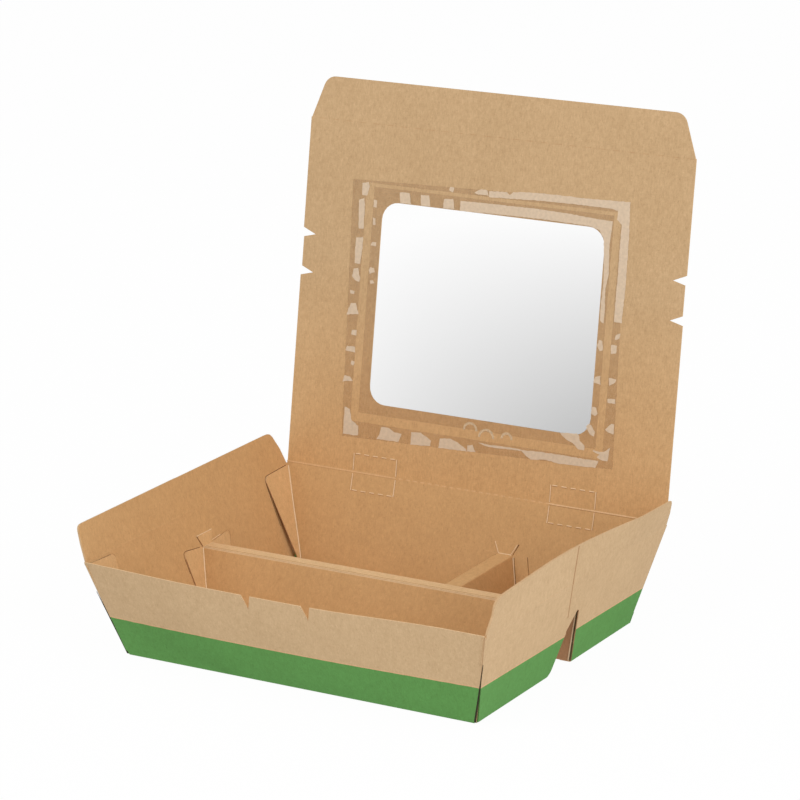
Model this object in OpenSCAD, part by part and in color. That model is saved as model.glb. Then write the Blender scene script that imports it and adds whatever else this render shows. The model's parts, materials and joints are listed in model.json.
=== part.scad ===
// Takeaway box of brown kraft board, with three compartments and a window in its lid.
// The tray, the lid and its flaps are folded from one sheet. The floor is folded up into
// two hollow dividers, the walls lean outwards so that boxes nest, and a clear film is
// glued inside the lid behind the window.

/* [Tray] */
// Length of the floor, left to right
base_w = 201; // [170:1:240]
// Depth of the floor of the front compartment
front_floor = 70; // [55:0.1:95]
// Depth of the floor of the back compartments
back_floor = 61.6; // [45:0.1:80]
// Distance from the floor's front fold to the origin of the model
origin_d = 36.95; // [30:0.05:45]
// Height of the front wall
tray_h = 50.3; // [42:0.1:62]
// How far each side wall leans out at the rim
side_flare = 13.6; // [8:0.1:18]
// How far the front wall leans out at the rim
front_flare = 14.1; // [8:0.1:18]
// How far the back wall leans out at the rim
back_flare = 15.8; // [8:0.1:18]
// How far the middle of the front wall's top edge bows outwards
front_bow = 6.4; // [0:0.1:10]

/* [Board] */
// Thickness of the board
board = 0.5; // [0.35:0.05:0.7]
// Radius of a fold, at the middle of the board
fold_r = 0.7; // [0.5:0.05:1.2]
// Gap between a flap and the fold it turns on
fold_gap = 0.15; // [0.1:0.05:0.3]
// How deep a glued tab is pressed into the wall behind it
glue = 0.05; // [0.02:0.01:0.1]

/* [Main divider] */
// Height of the main divider
divider_h = 31; // [22:0.5:38]
// Width of its flat ridge
ridge_w = 8.3; // [5:0.1:12]
// Width between its two floor folds
divider_base = 23.4; // [16:0.1:30]
// Distance from its front fold to the middle of its ridge
ridge_set = 14.7; // [8:0.1:20]
// Radius of its soft front fold, where the floor curves up into it
soft_r = 6; // [2:0.5:8]
// Height of the opening in each side wall at the divider's end, up the slope
opening_h = 32.5; // [26:0.1:36]
// Height of the bend in the opening's front edge
opening_bend = 20.5; // [12:0.1:24]
// How far the tip of the opening lies behind the middle of the ridge
opening_tip = 0.8; // [-2:0.1:3]
// How far its back edge stands in front of the divider's back face, below the tip
opening_inset = 1.8; // [0.5:0.1:3]

/* [Short divider] */
// Middle of the short divider, measured from the middle of the floor
short_x = 24.6; // [-40:0.1:45]
// Height of its ridge
short_h = 23.1; // [16:0.1:30]
// Width of its flat ridge
short_ridge_w = 8.6; // [5:0.1:12]
// Width between its two floor folds
short_base = 20; // [15:0.5:26]

/* [Glue tabs] */
// Width of a corner tab at its top
corner_tab_w = 24; // [14:0.5:30]
// How far the foot of a back corner tab stands off the side wall
back_lift = 3.4; // [0:0.1:5]
// How far the foot of a front corner tab stands off the side wall
front_lift = 0.8; // [0:0.1:3]
// How far the foot of a main divider tab stands off the side wall
divider_lift = 0.6; // [0:0.1:2]
// Width of a main divider tab at its top
divider_tab_w = 17; // [10:0.5:20]
// Width of a short divider tab
short_tab_w = 8.6; // [5:0.1:12]
// Height of the dovetail at the end of a ridge
dovetail_h = 6; // [4:0.1:8]
// How far each side of a dovetail spreads
dovetail_spread = 3; // [1:0.1:4]
// Open slit at the foot of each front corner, between the side wall and the front wall
corner_slit = 1.3; // [0.4:0.1:2.5]

/* [Side flaps] */
// Height of a side flap at the front
flap_front_h = 20.2; // [14:0.1:24]
// Height of a side flap at the back
flap_back_h = 17; // [10:0.1:22]
// How far the flap's front end stands clear of the front wall
flap_front_clear = 2.5; // [2.4:0.1:5]
// How far its back end stands clear of the back wall
flap_back_clear = 1.4; // [1.2:0.1:4]
// Depth of the step in its front edge
flap_step = 2.4; // [0:0.1:5]
// How far the flap's fold lies below the top of the front wall
flap_drop = 0.7; // [0.5:0.1:1.5]
// How far the seam in the side wall lies in front of the main divider, at the rim
seam_d = 13.3; // [6:0.1:20]
// How far the seam leans forward for each millimetre up
seam_lean = 0.2; // [0:0.01:0.3]

/* [Lid] */
// Width of the lid
lid_w = 225.8; // [190:0.1:270]
// Length of the lid from its hinge to the tuck crease
lid_l = 183.2; // [150:0.1:220]
// How far the open lid leans back from upright
lid_lean = 10.5; // [0:0.5:30]
// Height of the hinge above the top of the front wall
hinge_rise = 0.6; // [0.5:0.1:1.5]
// Length of the tuck flap
tuck_l = 22.3; // [16:0.1:26]
// How far each end of the tuck flap tapers in
tuck_taper = 7.9; // [4:0.1:12]

/* [Window] */
// Width of the window
window_w = 131.4; // [100:0.1:160]
// Height of the window
window_h = 106.3; // [80:0.1:125]
// Distance from the hinge to the window
window_s = 37.2; // [30:0.1:50]
// Corner radius of the window
window_r = 9.5; // [4:0.1:16]
// Width of the film
film_w = 161; // [145:0.5:180]
// Height of the film
film_h = 135.5; // [120:0.5:150]
// Thickness of the film
film_t = 0.1; // [0.05:0.01:0.2]
// How far the film was glued off square, in degrees
film_turn = 1.7; // [0:0.1:3]
// How far the film was glued off the middle of the window
film_shift = -2.1; // [-4:0.1:4]
// How far the film was glued below the middle of the window
film_drop = 2.4; // [0:0.1:4]

/* [Cuts] */
// Depth of a notch in the board's edge
notch_d = 7.5; // [4:0.1:9]
// Width of a notch at its mouth
notch_w = 5; // [3:0.1:8]
// Distance between the two notches in the front wall
front_notch_gap = 34; // [24:0.5:60]
// Place of the middle between them
front_notch_x = 1.2; // [-5:0.1:5]
// Distance between the two notches in each side of the lid
lid_notch_gap = 20.2; // [14:0.1:30]
// Distance from the hinge to the lower lid notch
lid_notch_s = 101.7; // [80:0.1:125]
// Width of a cut tab across the hinge
hinge_tab_w = 26.7; // [18:0.1:34]
// Half the length of a cut tab across the hinge
hinge_tab_l = 9.9; // [6:0.1:14]
// Distance from the middle of the hinge to the middle of a cut tab
hinge_tab_x = 59; // [40:0.5:75]
// Width of a knife cut
knife = 0.12; // [0.1:0.01:0.3]

/* [Hidden] */
divider_front = front_floor - origin_d;
divider_back = divider_front + divider_base;
ridge_y = divider_front + ridge_set;
ridge_front = ridge_y - ridge_w / 2;
ridge_back = ridge_y + ridge_w / 2;
side_lean = atan(side_flare / tray_h);
front_lean = atan(front_flare / tray_h);
back_lean = atan(back_flare / tray_h);
half = board / 2;
flap_z = tray_h - flap_drop;
flap_t = flap_z / cos(side_lean);
hinge_z = tray_h + hinge_rise;
hinge_y = back_y(hinge_z) - half / cos(back_lean);
hinge_t = hinge_z / cos(back_lean);
root = half + fold_gap;
flap_pin = 1.5 * board;
tuck_r = 7;
tab_r = 3;
tab_fall = 0.6;
tab_rise = 1.8;
tab_heel = 2;
notch_tip = 0.62;
dashes = 5;
outside = 6;
short_foot = short_base / 2;
kraft_in = [0.78, 0.60, 0.40];
kraft_out = [0.80, 0.67, 0.50];
film_colour = [0.93, 0.95, 0.96, 0.4];
bow_steps = 20;

// Outer faces of the leaning walls at height z. The origin is on the underside
// of the front compartment's floor.
function side_x(z) = base_w / 2 + side_flare * z / tray_h;
function front_y(z) = -origin_d - front_flare * z / tray_h;
function back_y(z) = divider_back + back_floor + back_flare * z / tray_h;
// Seam in a side wall at a distance t up its slope
function seam(t) = ridge_y - seam_d - seam_lean * (t - flap_t);

function flat(p) = [p.x, p.y];
function unit(v) = v / norm(v);
// An arc of radius r that rounds the corner b between a and c
function corner(a, b, c, r, n = 6) =
    let (u = unit(a - b), w = unit(c - b), opening = acos(max(-1, min(1, u * w))))
    r <= 0 || opening > 179 ? [b] :
    let (
        middle = b + unit(u + w) * r / sin(opening / 2),
        s = b + u * r / tan(opening / 2) - middle,
        e = b + w * r / tan(opening / 2) - middle,
        start = atan2(s.y, s.x),
        swing = atan2(s.x * e.y - s.y * e.x, s * e)
    )
    [for (i = [0 : n]) middle + r * [cos(start + swing * i / n), sin(start + swing * i / n)]];
// A closed outline whose points each carry a corner radius
function rounded(p) =
    let (n = len(p))
    [for (i = [0 : n - 1])
        each corner(flat(p[(i + n - 1) % n]), flat(p[i]), flat(p[(i + 1) % n]), p[i].z)];
// An open line with its inner corners folded, each to its own radius if it states one
function folded(p) = [
    p[0],
    for (i = [1 : len(p) - 2])
        each corner(flat(p[i - 1]), flat(p[i]), flat(p[i + 1]), len(p[i]) > 2 ? p[i].z : fold_r),
    p[len(p) - 1]
];
// The line p offset sideways by d
function beside(p, d) =
    let (n = len(p))
    [for (i = [0 : n - 1])
        let (
            back = unit(p[max(i, 1)] - p[max(i, 1) - 1]),
            ahead = unit(p[min(i, n - 2) + 1] - p[min(i, n - 2)]),
            along = unit(back + ahead)
        )
        p[i] + [-along.y, along.x] * d / (along * ahead)];
function backwards(p) = [for (i = [len(p) - 1 : -1 : 0]) p[i]];

// The half circle that rolls the end of the line p over, between its two sides
function rolled(p, n = 8) =
    let (end = p[len(p) - 1], ahead = unit(end - p[len(p) - 2]), left = [-ahead.y, ahead.x])
    [for (i = [1 : n - 1]) end + half * (left * cos(180 * i / n) + ahead * sin(180 * i / n))];

// Board seen end on: the folded line p with the board's thickness
module board_section(p, roll = false) {
    line = folded(p);
    polygon(concat(beside(line, half), roll ? rolled(line) : [], backwards(beside(line, -half))));
}

// Places for flat pieces: each turns a drawing of (along, up the slope) onto its wall
module on_right() {
    translate([base_w / 2, 0, 0]) rotate([0, side_lean, 0]) rotate([90, 0, 90]) children();
}
module on_front() {
    translate([0, front_y(0), 0]) rotate([90 + front_lean, 0, 0]) children();
}
module on_back() {
    translate([0, back_y(0), 0]) rotate([90 - back_lean, 0, 0]) children();
}
module on_lid() {
    translate([0, hinge_y, hinge_z]) rotate([90 - lid_lean, 0, 0]) children();
}
module on_tuck() {
    on_lid() translate([0, lid_l, 0]) children();
}
module both_sides() {
    children();
    mirror([1, 0, 0]) children();
}
module sheet(from, thick = board) {
    translate([0, 0, from]) linear_extrude(thick) children();
}
// Extrudes a drawing of (x, z) along Y, or of (y, z) along X
module along_y(y0, y1) {
    translate([0, y1, 0]) rotate([90, 0, 0]) linear_extrude(y1 - y0) children();
}
module along_x(reach) {
    translate([-reach, 0, 0]) rotate([90, 0, 90]) linear_extrude(2 * reach) children();
}

// Where the middle of a board that lies at a depth in a leaning wall meets the middle
// of the floor
function foot(edge, lean, depth) = edge - depth / cos(lean) + half * tan(lean);

// A divider seen end on, from one floor fold over its ridge to the other. The fold
// where it starts has the radius r.
function divider_line(foot_a, ridge_a, ridge_b, foot_b, h, r) =
    [[foot_a, half, r], [ridge_a, h - half], [ridge_b, h - half], [foot_b, half]];
main_line = divider_line(divider_front, ridge_front, ridge_back, divider_back, divider_h, soft_r);
short_line = divider_line(
    short_x - short_foot, short_x - short_ridge_w / 2,
    short_x + short_ridge_w / 2, short_x + short_foot, short_h, fold_r
);

// Floor, main divider and back wall: one strip of board folded along the box's length.
// The lid turns on its rolled top edge.
module floor_strip() {
    front_foot = front_y(0) + half / cos(front_lean) - half * tan(front_lean);
    stub = fold_r + board;
    board_section(concat(
        [[front_foot - stub * sin(front_lean), half + stub * cos(front_lean)], [front_foot, half]],
        main_line,
        [[foot(back_y(0), back_lean, half), half], [hinge_y, hinge_z]]
    ), roll = true);
}

// Room between the side walls that the strip fills from y0 to y1.
// Its foot is drawn in by the inset.
module between_sides(y0, y1, inset) {
    low = fold_r + 2 * board;
    floor_x = base_w / 2 - low;
    top_z = hinge_z + board;
    wall = 2 * board / cos(side_lean) - glue;
    along_y(y0, y1) polygon([
        [-floor_x, -board], [floor_x, -board], [floor_x, low],
        [side_x(low) - wall - inset, low],
        [side_x(top_z) - wall, top_z],
        [-side_x(top_z) + wall, top_z],
        [-side_x(low) + wall + inset, low],
        [-floor_x, low]
    ]);
}

// The opening in the back wall at the end of the short divider's hollow
module back_opening() {
    edge = folded(concat([flat(short_line[0]) - [outside, 0]], short_line, [short_line[3] + [outside, 0]]));
    last = len(edge) - 2;
    polygon(concat(
        [[edge[1].x, -outside]],
        [for (i = [1 : last]) [edge[i].x, edge[i].y / cos(back_lean)]],
        [[edge[last].x, -outside]]
    ));
}

// The opening in a side wall at the end of the main divider. Its front edge follows the
// divider up to a bend, and then slants over to a tip near the back of the ridge.
module side_opening() {
    function leg(foot_y, top_y, t) = foot_y + (top_y - foot_y) * t * cos(side_lean) / divider_h;
    bend = [leg(divider_front, ridge_front, opening_bend), opening_bend];
    edge = corner([divider_front - 2 * soft_r, half], [divider_front, half], bend, soft_r);
    low = opening_h - board - fold_r;
    polygon(concat(
        [[edge[0].x, -outside]],
        edge,
        [
            bend,
            [ridge_y + opening_tip, opening_h],
            [leg(divider_back, ridge_back, low) - opening_inset, low],
            [divider_back, half],
            [divider_back, -outside]
        ]
    ));
}

// A notch torn in an edge of the board along X, open upwards
module notch() {
    polygon(rounded([
        [-notch_w * notch_tip - 1, 2, 0],
        [-notch_w * notch_tip, 0, 1],
        [0, -notch_d, 0],
        [notch_w * (1 - notch_tip), 0, 0.5],
        [notch_w * (1 - notch_tip), 2, 0]
    ]));
}

// A side wall's outline, drawn as (y, up the slope)
module side_outline(top) {
    mid_t = 0.55 * flap_t;
    difference() {
        polygon([
            [front_y(0) + corner_slit, -outside],
            [back_y(0) - half, -outside],
            [back_y(0) - half, 0],
            [back_y(top * cos(side_lean)) - half, top],
            [front_y(top * cos(side_lean)) + half, top],
            [front_y(mid_t * cos(side_lean)) + half, mid_t],
            [front_y(0) + corner_slit, 0]
        ]);
        side_opening();
    }
}

// The part of a side in front of its seam, where the board lies double
module before_seam(from, to) {
    polygon([
        [front_y(tray_h) - 1, from], [seam(from), from],
        [seam(to), to], [front_y(tray_h) - 1, to]
    ]);
}

// A side wall: an inner layer folded up from the floor, and a layer over its front half.
// The side flap turns on the rolled top edge of the inner layer.
module side_wall() {
    wall_foot = foot(base_w / 2, side_lean, flap_pin);
    intersection() {
        along_y(front_y(tray_h), back_y(tray_h)) board_section([
            [wall_foot - outside, half],
            [wall_foot, half],
            [side_x(flap_z) - flap_pin * cos(side_lean), flap_z + flap_pin * sin(side_lean)]
        ], roll = true);
        on_right() sheet(-2 * outside, 3 * outside) side_outline(flap_t + board);
    }
    on_right() sheet(-board) intersection() {
        side_outline(flap_t - glue);
        before_seam(fold_r, flap_t);
    }
}

// The front wall bows outwards between its straight foot and its free top edge
module front_wall() {
    t0 = fold_r;
    t1 = tray_h / cos(front_lean);
    function reach(t) = side_x(t * cos(front_lean)) - board / cos(side_lean) + glue;
    points = [for (depth = [0, -board], t = [t0, t1], i = [0 : bow_steps])
        let (u = 2 * i / bow_steps - 1)
        [u * reach(t), t, depth + front_bow * (1 - u * u) * (t - t0) / (t1 - t0)]];
    row = bow_steps + 1;
    function quad(a, b, c, d) = [[a, b, c], [a, c, d]];
    faces = [
        for (i = [0 : bow_steps - 1]) each quad(i, i + row, i + row + 1, i + 1),
        for (i = [0 : bow_steps - 1])
            each quad(2 * row + i, 2 * row + i + 1, 3 * row + i + 1, 3 * row + i),
        for (i = [0 : bow_steps - 1]) each quad(i, i + 1, 2 * row + i + 1, 2 * row + i),
        for (i = [0 : bow_steps - 1]) each quad(row + i, 3 * row + i, 3 * row + i + 1, row + i + 1),
        each quad(0, 2 * row, 3 * row, row),
        each quad(row - 1, 2 * row - 1, 4 * row - 1, 3 * row - 1)
    ];
    on_front() difference() {
        polyhedron(points, faces);
        for (side = [-1, 1])
            translate([front_notch_x + side * front_notch_gap / 2, t1, -1])
                linear_extrude(front_bow + 2) notch();
    }
}

// Tabs at the ends of the front and back walls, glued inside a side wall.
// Each hangs from its top edge, and its foot stands off the wall.
module corner_tab(edge_top, edge_foot, way, lift) {
    top = flap_t - 2 * board;
    translate([0, top, -2 * board + glue]) rotate([asin(lift / top), 0, 0])
        translate([0, -top, 0]) sheet(-board)
            polygon(rounded([
                [edge_top + way * half, top, 0],
                [edge_top - way * corner_tab_w, top - tab_fall, tab_r],
                [edge_foot - way * tab_heel, tab_heel, 0],
                [edge_foot + way * half, tab_heel, 0]
            ]));
}

// Tabs at the end of the main divider, and the dovetail at the end of its ridge
module divider_tabs() {
    top = (divider_h - half) / cos(side_lean);
    low = fold_r + board;
    for (end = [[-1, ridge_front, divider_front], [1, ridge_back, divider_back]]) {
        way = end[0];
        translate([0, top, -2 * board + glue]) rotate([asin(divider_lift / top), 0, 0])
            translate([0, -top, 0]) sheet(-board)
                polygon(rounded([
                    [end[1] - way * half, top - half, 0],
                    [end[1] + way * divider_tab_w, top + tab_rise, tab_r],
                    [end[2] + way * tab_heel, low, 0],
                    [end[2] - way * board, low, 0]
                ]));
    }
    dovetail(ridge_y, ridge_w, top - board, -3 * board + glue);
}
module dovetail(middle, w, foot_t, from) {
    root_w = w / 2 - half;
    translate([middle, foot_t, 0]) sheet(from) polygon([
        [-root_w, 0], [root_w, 0],
        [root_w + dovetail_spread, dovetail_h + board],
        [-root_w - dovetail_spread, dovetail_h + board]
    ]);
}

// The short divider runs from the main divider to the back wall
module short_divider() {
    rim = [outside / 2, 0];
    main_back = divider_back - glue;
    slope = (divider_back - ridge_back) / divider_h;
    intersection() {
        along_y(ridge_y, back_y(short_h)) board_section(concat(
            [flat(short_line[0]) - rim], short_line, [short_line[3] + rim]
        ));
        along_x(base_w / 2) polygon([
            [main_back, 0], [main_back - slope * short_h, short_h],
            [back_y(short_h) - board, short_h], [back_y(0) - board, 0]
        ]);
    }
    on_back() {
        top = (short_h - half) / cos(back_lean);
        for (way = [0, 1])
            translate([short_x, 0, 0]) mirror([way, 0, 0]) sheet(board - glue)
                polygon(rounded([
                    [short_ridge_w / 2 - half, top - half, 0],
                    [short_ridge_w / 2 + short_tab_w, top + board, tab_r / 2],
                    [short_foot + short_tab_w, fold_r + board, 0],
                    [short_foot - board, fold_r + board, 0]
                ]));
        dovetail(short_x, short_ridge_w, top - board, board - glue);
    }
}

// Knife cuts that cross the hinge, with a row of short cuts at their ends
module hinge_cuts(way) {
    pitch = hinge_tab_w / dashes;
    dash = 0.55 * pitch;
    for (side = [-1, 1]) translate([side * hinge_tab_x, 0, 0]) {
        for (end = [-1, 1])
            translate([end * hinge_tab_w / 2 - knife / 2, way > 0 ? 0 : -hinge_tab_l])
                square([knife, hinge_tab_l]);
        for (i = [0 : dashes - 1])
            translate([(i + 0.5) * pitch - (hinge_tab_w + dash) / 2, way * hinge_tab_l - knife / 2])
                square([dash, knife]);
    }
}

module tray() {
    color(kraft_in) {
        difference() {
            intersection() {
                along_x(side_x(hinge_z) + 1) floor_strip();
                union() {
                    between_sides(front_y(tray_h), back_y(0) - 2 * fold_r, 0);
                    between_sides(back_y(0) - 2 * fold_r, back_y(hinge_z) + board, back_lift);
                }
            }
            // The floor under the short divider is folded up into it
            translate([short_x - short_foot, divider_back + board, -board])
                cube([short_base, back_floor, 3 * board]);
            on_back() sheet(-outside, 2 * outside) back_opening();
            on_back() sheet(-outside, 2 * outside) translate([0, hinge_t]) hinge_cuts(-1);
        }
        short_divider();
        both_sides() {
            side_wall();
            on_right() {
                divider_tabs();
                corner_tab(back_y(flap_z), back_y(0), 1, back_lift);
                corner_tab(front_y(flap_z), front_y(0), -1, front_lift);
            }
        }
    }
    color(kraft_out) front_wall();
}

// A side flap folds in over the food before the lid closes. Its front edge has a step
// where it was cut free of the front wall.
module flap_outline() {
    front = front_y(flap_z) + flap_front_clear;
    back = back_y(flap_z) - flap_back_clear;
    polygon(rounded([
        [front, root, 0],
        [front, 0.3 * flap_front_h, 2],
        [front + flap_step, 0.42 * flap_front_h, 2],
        [front + 0.2 * flap_step, 0.82 * flap_front_h, 3],
        [front + 3 * flap_step, flap_front_h, 4],
        [back - 0.4 * flap_back_h, flap_back_h, 3],
        [back, root, 0]
    ]));
}
module side_flap() {
    on_right() {
        sheet(-2 * board) translate([0, flap_t]) flap_outline();
        sheet(-board) intersection() {
            translate([0, flap_t]) flap_outline();
            before_seam(flap_t, flap_t + flap_front_h + board);
        }
    }
}
module right_side_flap() {
    color(kraft_out) side_flap();
}
module left_side_flap() {
    color(kraft_in) mirror([1, 0, 0]) side_flap();
}

// The lid is one panel with the window cut in it, two notches in each side edge
// and the upper ends of the knife cuts that cross the hinge
module lid_panel() {
    edge = lid_w / 2;
    color(kraft_in) on_lid() {
        difference() {
            sheet(-half) difference() {
                translate([-edge, root]) square([lid_w, lid_l - root]);
                translate([0, window_s + window_h / 2]) polygon(rounded([
                    for (q = [[-1, -1], [1, -1], [1, 1], [-1, 1]])
                        [q.x * window_w / 2, q.y * window_h / 2, window_r]
                ]));
                both_sides() {
                    for (s = [lid_notch_s, lid_notch_s + lid_notch_gap])
                        translate([edge, s]) rotate(-90) notch();
                    translate([edge - board, lid_notch_s]) square([2 * board, lid_notch_gap]);
                }
            }
            sheet(-outside, 2 * outside) hinge_cuts(1);
        }
        // The rolled end that the tuck flap turns on
        translate([-edge, lid_l, 0]) rotate([0, 90, 0]) cylinder(r = half, h = lid_w, $fn = 24);
    }
}

// Clear film glued on the inside of the lid, a little off square
module window_film() {
    color(film_colour) on_lid()
        translate([film_shift, window_s + window_h / 2 - film_drop, half])
            rotate([0, 0, film_turn]) linear_extrude(film_t)
                translate([-film_w / 2, -film_h / 2]) square([film_w, film_h]);
}

// The tuck flap goes down inside the front wall when the box is closed
module tuck_flap() {
    edge = lid_w / 2 - board;
    color(kraft_in) on_tuck() sheet(-half) polygon(rounded([
        [-edge, root, 0], [edge, root, 0],
        [edge - tuck_taper, tuck_l, tuck_r], [-edge + tuck_taper, tuck_l, tuck_r]
    ]));
}

tray();
left_side_flap();
right_side_flap();
lid_panel();
window_film();
tuck_flap();
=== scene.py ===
import json
import random
from math import atan, cos, degrees, pi, radians, sin

import bmesh
import bpy
from mathutils import Matrix, Vector


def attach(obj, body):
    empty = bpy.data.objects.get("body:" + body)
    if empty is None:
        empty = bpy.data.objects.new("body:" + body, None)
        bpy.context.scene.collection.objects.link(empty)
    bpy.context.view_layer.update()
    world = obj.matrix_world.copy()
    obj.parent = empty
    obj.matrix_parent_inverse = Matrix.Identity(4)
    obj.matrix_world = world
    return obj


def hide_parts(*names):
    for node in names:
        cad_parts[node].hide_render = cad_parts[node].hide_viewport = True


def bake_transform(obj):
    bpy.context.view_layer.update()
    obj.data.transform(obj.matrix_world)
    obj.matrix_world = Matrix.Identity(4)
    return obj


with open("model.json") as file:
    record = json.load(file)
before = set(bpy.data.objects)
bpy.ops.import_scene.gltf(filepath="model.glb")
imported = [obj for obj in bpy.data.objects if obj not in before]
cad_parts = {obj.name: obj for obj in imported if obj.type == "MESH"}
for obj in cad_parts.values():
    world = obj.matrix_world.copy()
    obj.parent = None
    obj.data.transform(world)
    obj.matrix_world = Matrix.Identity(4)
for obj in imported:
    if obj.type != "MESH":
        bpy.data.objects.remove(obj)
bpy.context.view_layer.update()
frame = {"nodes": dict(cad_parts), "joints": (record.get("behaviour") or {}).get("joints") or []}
# Lengths are in metres where they carry * mm, and otherwise in mm
mm = 0.001


# Camera
# A long lens looks down at the open box from its front right corner. The place, turn and
# roll were worked out from the edges that run along the box.
look_at = Vector((29.57, 16.25, 135.67)) * mm
distance = 1851.6 * mm
azimuth, elevation, roll = radians(31.42), radians(16.76), radians(-1.29)
camera = bpy.data.objects.new("camera", bpy.data.cameras.new("camera"))
bpy.context.collection.objects.link(camera)
camera.data.lens = 172.93
camera.data.sensor_width = 36
camera.data.clip_end = 20
back = Vector((sin(azimuth) * cos(elevation), -cos(azimuth) * cos(elevation), sin(elevation)))
right = back.cross(Vector((0, 0, -1))).normalized()
up = back.cross(right)
turned = (cos(roll) * right + sin(roll) * up, cos(roll) * up - sin(roll) * right, back)
stand = Matrix.Translation(look_at + back * distance)
camera.matrix_world = stand @ Matrix(turned).transposed().to_4x4()
bpy.context.scene.camera = camera


# Kraft board
# The box is one sheet of 0.5 mm brown kraft board. Long fibres, darker clouds and small
# flecks show on both sides, and its cut edges and creases are paler than its faces.
board = 0.5


def join(tree, value, socket):
    """Sets a socket to a value, or links it where the value is another socket."""
    if isinstance(value, bpy.types.NodeSocket):
        tree.links.new(value, socket)
    else:
        socket.default_value = value


def add(tree, kind, family="ShaderNode", **values):
    """A node with its properties and inputs set. An input goes by its name, or by in0, in1
    and so on."""
    node = tree.nodes.new(family + kind)
    for name, value in values.items():
        if hasattr(node, name):
            setattr(node, name, value)
        elif name.startswith("in"):
            join(tree, value, node.inputs[int(name[2:])])
        else:
            join(tree, value, node.inputs[name.replace("_", " ")])
    return node


def maths(tree, operation, a, b=0.0, c=0.0):
    """The result of one calculation on numbers or sockets."""
    return add(tree, "Math", operation=operation, in0=a, in1=b, in2=c).outputs[0]


def blend_colours(tree, share, under, over, kind="MIX"):
    """One colour laid over another, in the given share."""
    node = add(tree, "Mix", data_type="RGBA", blend_type=kind, in0=share, in6=under, in7=over)
    return node.outputs[2]


def srgb(*steps):
    """A colour that was read in 8-bit steps, as a shader takes it."""
    shares = [step / 255 for step in steps]
    return (*(s / 12.92 if s < 0.04045 else ((s + 0.055) / 1.055) ** 2.4 for s in shares), 1.0)


def paper_group():
    """Kraft paper's fibres, clouds and flecks, laid over a colour."""
    tree = bpy.data.node_groups.new("kraft paper", "ShaderNodeTree")
    for name, way, kind in (("Colour", "INPUT", "Color"), ("Grain", "INPUT", "Float"),
                            ("Colour", "OUTPUT", "Color"), ("Height", "OUTPUT", "Float")):
        tree.interface.new_socket(name, in_out=way, socket_type="NodeSocket" + kind)
    given = tree.nodes.new("NodeGroupInput")
    place = add(tree, "TexCoord").outputs["Object"]

    def noise(size, stretch=(1, 1, 1), detail=2.0, seed=0.0):
        """Noise whose grains measure about `size`, drawn out along an axis."""
        scale = [1 / (size * s) for s in stretch]
        moved = add(tree, "Mapping", Vector=place, Scale=scale, Location=(seed, seed, seed))
        return add(tree, "TexNoise", Vector=moved.outputs[0], Scale=1.0, Detail=detail).outputs[0]

    def sway(level, source, depth):
        """A level that noise moves up and down, by up to half of `depth` each way."""
        return maths(tree, "MULTIPLY_ADD", maths(tree, "SUBTRACT", source, 0.5), depth, level)

    clouds = noise(26 * mm, detail=3.0)
    mottle = noise(2.6 * mm, (1, 1, 1.5), seed=5)
    streaks = noise(0.8 * mm, (1, 1, 3.4), seed=9)
    strands = noise(0.34 * mm, (7.0, 7.0, 0.9), detail=1.0, seed=14)
    grains = noise(0.45 * mm, detail=1.0, seed=31)
    flecks = noise(0.7 * mm, (1, 1, 1.8), detail=0.0, seed=21)
    fine = sway(sway(maths(tree, "SUBTRACT", streaks, 0.5), strands, 0.45), grains, 0.5)
    light = sway(sway(1.0, clouds, 0.14), mottle, 0.20)
    light = maths(tree, "MULTIPLY_ADD", fine, given.outputs["Grain"], light)
    for beyond, limit, change in (("LESS_THAN", 0.27, -0.09), ("GREATER_THAN", 0.72, 0.07)):
        fleck = maths(tree, beyond, flecks, limit)
        light = maths(tree, "MULTIPLY_ADD", fleck, change, light)
    # Darker pulp is also browner, so blue falls off faster than red
    red, blue = (maths(tree, "POWER", light, power) for power in (0.85, 1.25))
    shade = add(tree, "CombineColor", in0=red, in1=light, in2=blue).outputs[0]
    coloured = blend_colours(tree, 1.0, given.outputs["Colour"], shade, "MULTIPLY")
    result = tree.nodes.new("NodeGroupOutput")
    join(tree, coloured, result.inputs["Colour"])
    join(tree, maths(tree, "ADD", streaks, strands), result.inputs["Height"])
    return tree


paper = paper_group()


def new_material(name):
    """An empty material, with its node tree and its shader."""
    material = bpy.data.materials.new(name)
    material.use_nodes = True
    return material, material.node_tree, material.node_tree.nodes.get("Principled BSDF")


def kraft(name, colour, grain=0.26):
    """A matt paper material; colour may be a function that draws on the tree."""
    material, tree, shader = new_material(name)
    shader.inputs["Roughness"].default_value = 0.82
    shader.inputs["Specular IOR Level"].default_value = 0.25
    surface = add(tree, "Group", node_tree=paper)
    surface.inputs["Grain"].default_value = grain
    join(tree, colour(tree) if callable(colour) else colour, surface.inputs["Colour"])
    join(tree, surface.outputs["Colour"], shader.inputs["Base Color"])
    bump = add(tree, "Bump", Strength=0.35, Distance=0.06 * mm, Height=surface.outputs["Height"])
    join(tree, bump.outputs[0], shader.inputs["Normal"])
    return material


outside_brown = srgb(200, 169, 130)
edge_grain = 0.16
inside = kraft("kraft inside", srgb(203, 161, 111))
crease = kraft("kraft crease", srgb(214, 180, 138), edge_grain)
torn = kraft("torn kraft edge", srgb(230, 202, 164), edge_grain)
# Painted shade: a dark brown for strips laid where a crevice between boards is in shade
painted_crevice_shade = kraft("crevice between boards", srgb(116, 80, 48), edge_grain)
# Painted shade: a fainter dark brown for thin strips beside tab edges, cut lips and the ridge's
# fold
painted_faint_shade = kraft("scored line", srgb(174, 130, 87), edge_grain)
rim = kraft("cut rim of a flap", srgb(202, 167, 126), edge_grain)


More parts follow.
